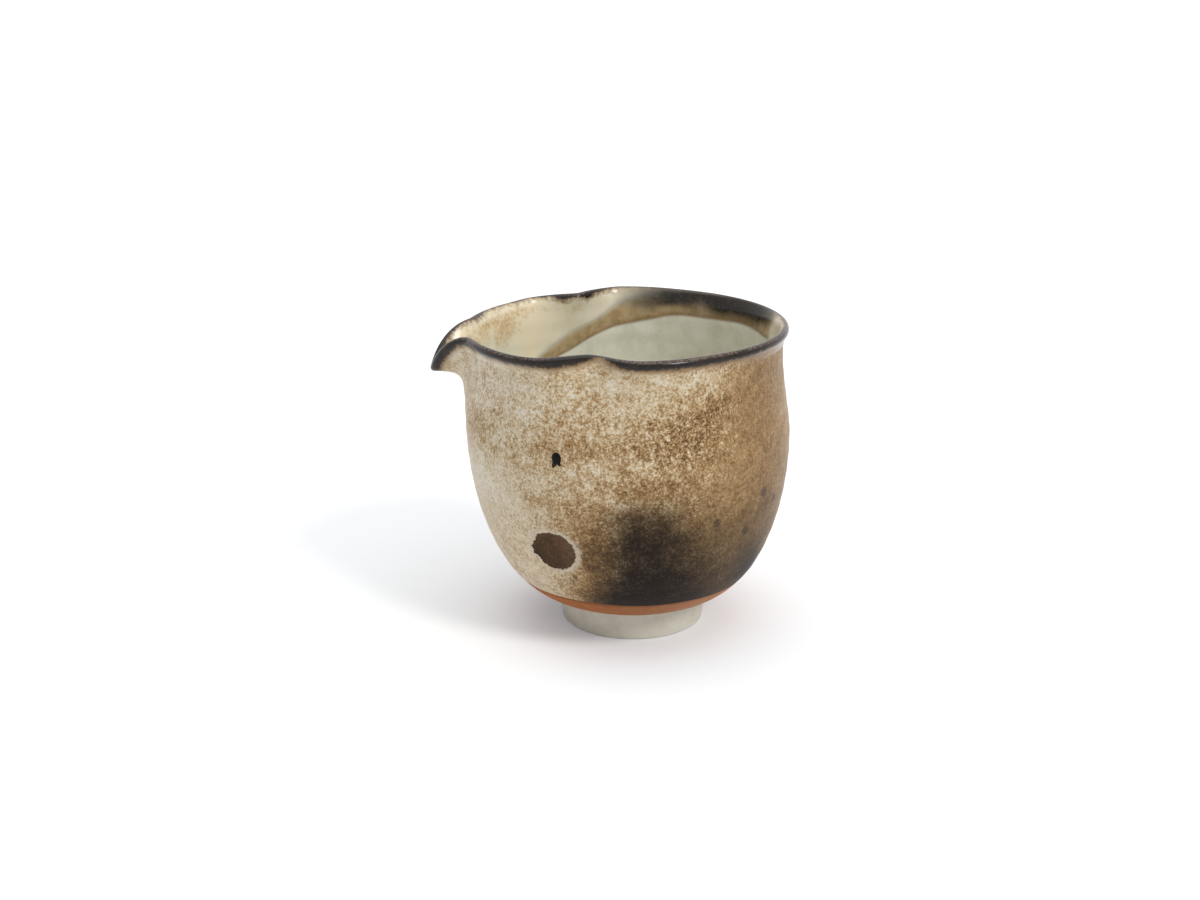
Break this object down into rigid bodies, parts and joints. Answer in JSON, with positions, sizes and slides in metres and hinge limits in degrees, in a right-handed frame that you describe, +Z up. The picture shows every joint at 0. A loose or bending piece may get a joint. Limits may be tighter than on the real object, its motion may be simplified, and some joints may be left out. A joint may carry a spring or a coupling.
{
  "type": "lipped pouring bowl",
  "caption": "Small thrown stoneware pouring bowl on a foot ring, its rim pulled out into a drooping spout.",
  "frame": {"origin": "on the surface that the foot stands on, under the middle of the whole bowl with its spout", "axes": "-X out of the spout, +Z up, the spout's plane is y = 0"},
  "size_m": [0.096, 0.0878, 0.0833],
  "materials": {
    "clay": "fired stoneware, matt",
    "bare_foot": "fired stoneware, fine and matt",
    "flashed_clay": "bare clay flashed orange, dull satin",
    "ash_glaze": "speckled ash glaze, satin",
    "green_glaze": "pale grey-green glaze, glossy",
    "iron_glaze": "dark iron glaze, glossy"
  },
  "bodies": {
    "root": {"clay_body": "clay", "foot_ring": "bare_foot", "rust_band": "flashed_clay", "outer_glaze": "ash_glaze", "inner_glaze": "green_glaze", "rim_glaze": "iron_glaze"}
  },
  "joints": []
}
